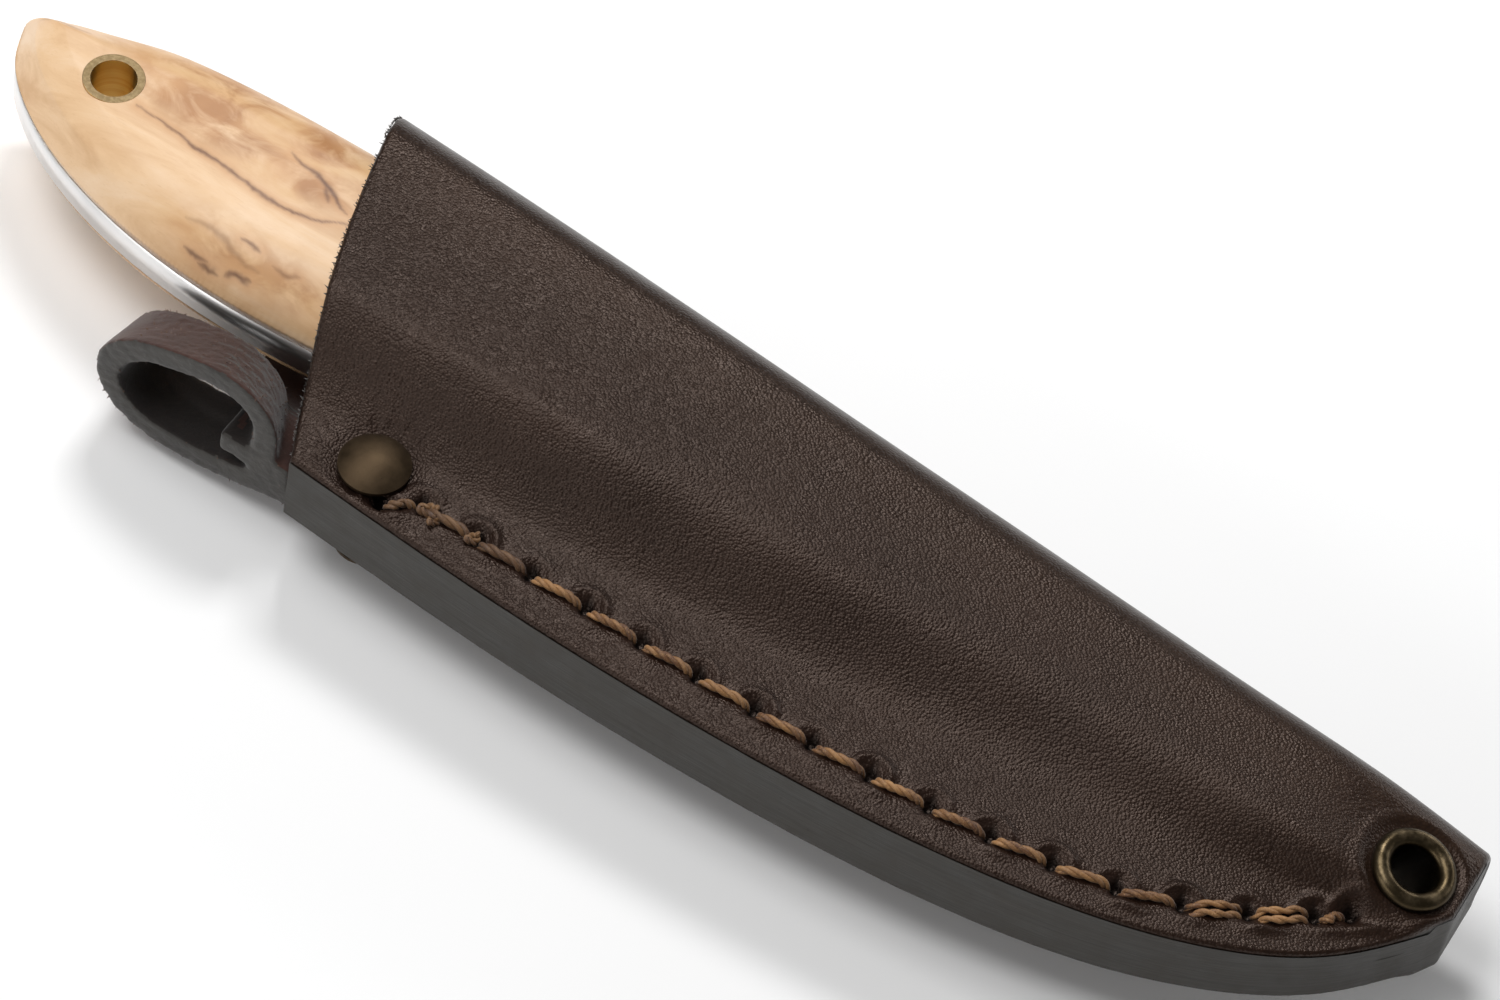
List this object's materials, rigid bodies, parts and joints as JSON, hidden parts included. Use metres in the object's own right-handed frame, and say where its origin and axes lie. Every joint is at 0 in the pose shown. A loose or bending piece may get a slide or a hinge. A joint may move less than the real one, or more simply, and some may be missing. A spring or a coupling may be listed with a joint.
{
  "type": "sheathed whittling knife",
  "caption": "Full-tang whittling knife with rounded curly-birch handle scales, drawn from a folded, saddle-stitched dark leather pouch sheath with a belt loop, rivet and tip eyelet.",
  "frame": {"origin": "on the surface the sheathed knife lies on, under the middle of its overall box", "axes": "+X from the butt of the handle to the tip of the sheath, +Y from the stitched edge to the fold, +Z out of the front face, away from the belt loop side"},
  "size_m": [0.1872, 0.049, 0.0241],
  "materials": {
    "blade_steel": "satin ground, with a finer sheen on the tang's edge",
    "birch": "oiled curly birch, satin",
    "brass_tube": "dull ground ring with a bright bore",
    "brass_pins": "ground flush",
    "sheath_leather": "fine pebble grain, semi-gloss, with burnished edges",
    "welt_leather": "burnished edge",
    "strap_leather": "matte flesh side with pale fibres and dark edges",
    "antique_brass": "antiqued, worn bright on the rims",
    "thread": "waxed and twisted"
  },
  "bodies": {
    "sheath": {"sheath_leather": "sheath_leather", "welt": "welt_leather", "belt_loop": "strap_leather", "rivet_cap": "antique_brass", "rivet_post": "antique_brass", "eyelet": "antique_brass", "eyelet_washer": "antique_brass", "front_thread": "thread", "back_thread": "thread"},
    "knife": {"blade": "blade_steel", "front_scale": "birch", "back_scale": "birch", "lanyard_tube": "brass_tube", "handle_pins": "brass_pins"}
  },
  "joints": [
    {"name": "knife_draw", "type": "slide", "parent": "sheath", "child": "knife", "axis": [-1, 0, 0], "range_m": [0, 0.13]}
  ]
}
